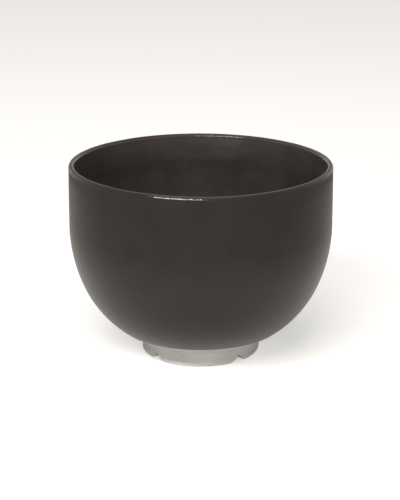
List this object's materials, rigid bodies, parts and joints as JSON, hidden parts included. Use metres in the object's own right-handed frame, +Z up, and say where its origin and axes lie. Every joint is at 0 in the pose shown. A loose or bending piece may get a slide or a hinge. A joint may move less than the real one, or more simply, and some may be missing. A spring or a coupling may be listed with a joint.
{
  "type": "bowl",
  "caption": "Deep round stoneware bowl with a rounded lip, dark satin glaze inside and out, and a bare notched foot ring.",
  "frame": {"origin": "on the axis of the bowl, in the plane that its foot ring stands on", "axes": "+Z up along the axis out of the mouth; -Y is the side seen in front in the picture, with a notch in the foot on either side of it; +X to its right"},
  "size_m": [0.1305, 0.1304, 0.0966],
  "materials": {
    "bare_clay": "unglazed stoneware, matt, with sparse iron specks",
    "dark_glaze": "satin dark brown glaze"
  },
  "bodies": {
    "root": {"clay_body": "bare_clay", "foot_ring": "bare_clay", "outer_glaze": "dark_glaze", "inner_glaze": "dark_glaze"}
  },
  "joints": []
}
